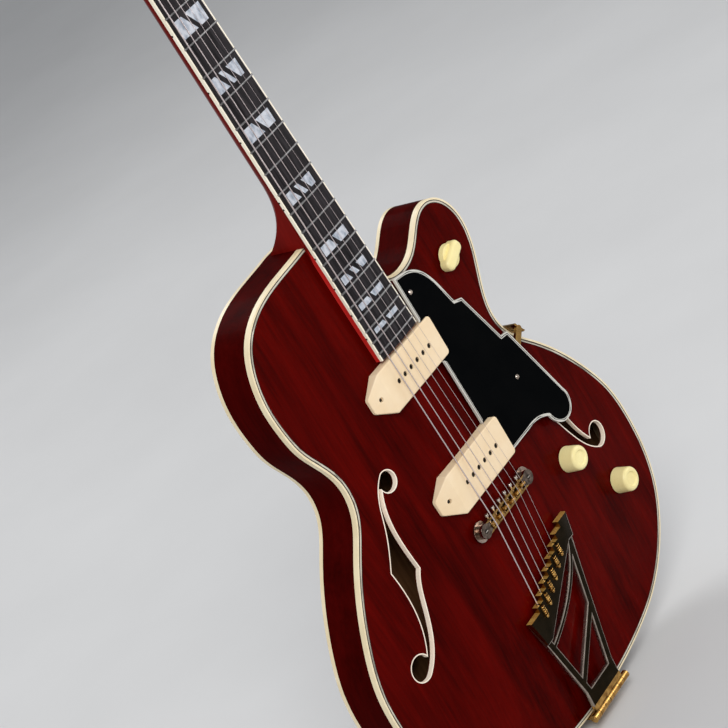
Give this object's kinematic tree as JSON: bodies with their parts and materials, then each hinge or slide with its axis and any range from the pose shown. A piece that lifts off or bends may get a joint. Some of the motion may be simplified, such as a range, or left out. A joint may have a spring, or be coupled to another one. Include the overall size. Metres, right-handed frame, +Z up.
{
  "type": "archtop guitar",
  "caption": "Hollow-body archtop electric guitar with a rounded cutaway, f-holes, cream pickups, floating bridge, slanted trapeze tailpiece and geared tuners.",
  "frame": {"origin": "seat of the end strap button, at the middle of the tail", "axes": "+X to the treble side, -Y out of the face, +Z up the neck"},
  "size_m": [0.425, 0.1066, 1.0321],
  "materials": {
    "top_wood": "clear gloss over deep cherry stain",
    "rim_wood": "clear gloss over dark cherry stain",
    "neck_wood": "clear gloss over cherry stain",
    "inner_wood": "raw",
    "binding": "polished, aged cream",
    "purfling": "black and white plies",
    "ebony": "oiled",
    "black_veneer": "clear gloss",
    "pearl": "polished pearl",
    "bone": "polished",
    "cream_plastic": "satin",
    "ivory_plastic": "polished",
    "black_plastic": "polished",
    "guard_edge": "white and black plies",
    "coil": "taped",
    "gold": "polished gold plate",
    "steel": "bare",
    "dark_steel": "blackened",
    "nickel_wire": "polished",
    "string_steel": "wound and plain wire"
  },
  "bodies": {
    "guitar": {"top_plate": "top_wood", "back_plate": "rim_wood", "rim": "rim_wood", "body_bindings": "binding", "top_purfling": "purfling", "f_hole_bindings": "binding", "body_blocks": "inner_wood", "tone_bars": "inner_wood", "neck": "neck_wood", "truss_rod": "steel", "truss_rod_cover": "black_plastic", "fingerboard": "ebony", "neck_binding": "binding", "frets": "nickel_wire", "inlays": "pearl", "nut": "bone", "headstock_veneer": "black_veneer", "tuner_housings": "gold", "tuner_bushings": "gold", "strings": "string_steel", "neck_pickup_cover": "cream_plastic", "bridge_pickup_cover": "cream_plastic", "pickup_coils": "coil", "pole_screws": "dark_steel", "pickguard": "black_plastic", "pickguard_binding": "guard_edge", "pickguard_bracket": "gold", "bridge_studs": "gold", "tailpiece_bracket": "gold", "control_pots": "steel", "switch_body": "steel", "output_jack": "gold", "strap_buttons": "gold", "wood_screws": "gold"},
    "bridge": {"bridge_frame": "gold", "saddle_screws": "gold"},
    "thumbwheel_bass": {"thumbwheel_bass": "gold"},
    "thumbwheel_treble": {"thumbwheel_treble": "gold"},
    "volume_knob": {"volume_knob": "ivory_plastic"},
    "tone_knob": {"tone_knob": "ivory_plastic"},
    "selector_knob": {"selector_knob": "ivory_plastic"},
    "tailpiece": {"tailpiece_frame": "gold"},
    "tuner_button_1": {"tuner_button_1": "gold"},
    "tuner_post_1": {"tuner_post_1": "gold"},
    "saddle_1": {"saddle_1": "gold"},
    "tuner_button_2": {"tuner_button_2": "gold"},
    "tuner_post_2": {"tuner_post_2": "gold"},
    "saddle_2": {"saddle_2": "gold"},
    "tuner_button_3": {"tuner_button_3": "gold"},
    "tuner_post_3": {"tuner_post_3": "gold"},
    "saddle_3": {"saddle_3": "gold"},
    "tuner_button_4": {"tuner_button_4": "gold"},
    "tuner_post_4": {"tuner_post_4": "gold"},
    "saddle_4": {"saddle_4": "gold"},
    "tuner_button_5": {"tuner_button_5": "gold"},
    "tuner_post_5": {"tuner_post_5": "gold"},
    "saddle_5": {"saddle_5": "gold"},
    "tuner_button_6": {"tuner_button_6": "gold"},
    "tuner_post_6": {"tuner_post_6": "gold"},
    "saddle_6": {"saddle_6": "gold"}
  },
  "joints": [
    {"name": "tuner_1_button", "type": "hinge", "parent": "guitar", "child": "tuner_button_1", "pos_m": [-0.0275, 0.02545, 0.89948], "axis": [1, 0, 0], "continuous": true},
    {"name": "tuner_1_post", "type": "hinge", "parent": "guitar", "child": "tuner_post_1", "pos_m": [-0.0275, 0.00437, 0.89756], "axis": [0, -0.9563, 0.2924], "continuous": true},
    {"name": "tuner_2_button", "type": "hinge", "parent": "guitar", "child": "tuner_button_2", "pos_m": [-0.0285, 0.03715, 0.93773], "axis": [1, 0, 0], "continuous": true},
    {"name": "tuner_2_post", "type": "hinge", "parent": "guitar", "child": "tuner_post_2", "pos_m": [-0.0285, 0.01606, 0.93581], "axis": [0, -0.9563, 0.2924], "continuous": true},
    {"name": "tuner_3_button", "type": "hinge", "parent": "guitar", "child": "tuner_button_3", "pos_m": [-0.0295, 0.04884, 0.97598], "axis": [1, 0, 0], "continuous": true},
    {"name": "tuner_3_post", "type": "hinge", "parent": "guitar", "child": "tuner_post_3", "pos_m": [-0.0295, 0.02776, 0.97406], "axis": [0, -0.9563, 0.2924], "continuous": true},
    {"name": "tuner_4_button", "type": "hinge", "parent": "guitar", "child": "tuner_button_4", "pos_m": [0.0295, 0.04884, 0.97598], "axis": [1, 0, 0], "continuous": true},
    {"name": "tuner_4_post", "type": "hinge", "parent": "guitar", "child": "tuner_post_4", "pos_m": [0.0295, 0.02776, 0.97406], "axis": [0, -0.9563, 0.2924], "continuous": true},
    {"name": "tuner_5_button", "type": "hinge", "parent": "guitar", "child": "tuner_button_5", "pos_m": [0.0285, 0.03715, 0.93773], "axis": [1, 0, 0], "continuous": true},
    {"name": "tuner_5_post", "type": "hinge", "parent": "guitar", "child": "tuner_post_5", "pos_m": [0.0285, 0.01606, 0.93581], "axis": [0, -0.9563, 0.2924], "continuous": true},
    {"name": "tuner_6_button", "type": "hinge", "parent": "guitar", "child": "tuner_button_6", "pos_m": [0.0275, 0.02545, 0.89948], "axis": [1, 0, 0], "continuous": true},
    {"name": "tuner_6_post", "type": "hinge", "parent": "guitar", "child": "tuner_post_6", "pos_m": [0.0275, 0.00437, 0.89756], "axis": [0, -0.9563, 0.2924], "continuous": true},
    {"name": "bridge_height", "type": "slide", "parent": "guitar", "child": "bridge", "axis": [0, 1, 0], "range_m": [0, 0.0012]},
    {"name": "bass_thumbwheel_turn", "type": "hinge", "parent": "bridge", "child": "thumbwheel_bass", "pos_m": [-0.0375, -0.04, 0.2165], "axis": [0, 1, 0], "continuous": true},
    {"name": "treble_thumbwheel_turn", "type": "hinge", "parent": "bridge", "child": "thumbwheel_treble", "pos_m": [0.0375, -0.04, 0.2165], "axis": [0, 1, 0], "continuous": true},
    {"name": "saddle_1_slide", "type": "slide", "parent": "bridge", "child": "saddle_1", "axis": [0, 0, 1], "range_m": [0, 0.00278]},
    {"name": "saddle_2_slide", "type": "slide", "parent": "bridge", "child": "saddle_2", "axis": [0, 0, 1], "range_m": [0, 0.00199]},
    {"name": "saddle_3_slide", "type": "slide", "parent": "bridge", "child": "saddle_3", "axis": [0, 0, 1], "range_m": [0, 0.00122]},
    {"name": "saddle_4_slide", "type": "slide", "parent": "bridge", "child": "saddle_4", "axis": [0, 0, 1], "range_m": [0, 0.00227]},
    {"name": "saddle_5_slide", "type": "slide", "parent": "bridge", "child": "saddle_5", "axis": [0, 0, 1], "range_m": [0, 0.00169]},
    {"name": "saddle_6_slide", "type": "slide", "parent": "bridge", "child": "saddle_6", "axis": [0, 0, 1], "range_m": [0, 0.000981]},
    {"name": "volume_turn", "type": "hinge", "parent": "guitar", "child": "volume_knob", "pos_m": [0.1035, -0.04, 0.1865], "axis": [0, -1, 0], "range_deg": [-150, 150]},
    {"name": "tone_turn", "type": "hinge", "parent": "guitar", "child": "tone_knob", "pos_m": [0.1526, -0.04, 0.1255], "axis": [0, -1, 0], "range_deg": [-150, 150]},
    {"name": "selector_turn", "type": "hinge", "parent": "guitar", "child": "selector_knob", "pos_m": [0.111, -0.03, 0.402], "axis": [0, -1, 0], "range_deg": [-30, 30]},
    {"name": "tailpiece_rock", "type": "hinge", "parent": "guitar", "child": "tailpiece", "pos_m": [0, -0.0325, 0.002], "axis": [1, 0, 0], "range_deg": [-0.6, 0], "stiffness_Nm_per_rad": 20}
  ],
  "couplings": [
    {"joint": "tuner_1_post", "follows": "tuner_1_button", "ratio": 0.066667},
    {"joint": "tuner_2_post", "follows": "tuner_2_button", "ratio": 0.066667},
    {"joint": "tuner_3_post", "follows": "tuner_3_button", "ratio": 0.066667},
    {"joint": "tuner_4_post", "follows": "tuner_4_button", "ratio": -0.066667},
    {"joint": "tuner_5_post", "follows": "tuner_5_button", "ratio": -0.066667},
    {"joint": "tuner_6_post", "follows": "tuner_6_button", "ratio": -0.066667},
    {"joint": "bass_thumbwheel_turn", "follows": "bridge_height", "rad_per_m": 5236},
    {"joint": "treble_thumbwheel_turn", "follows": "bridge_height", "rad_per_m": 5236}
  ]
}
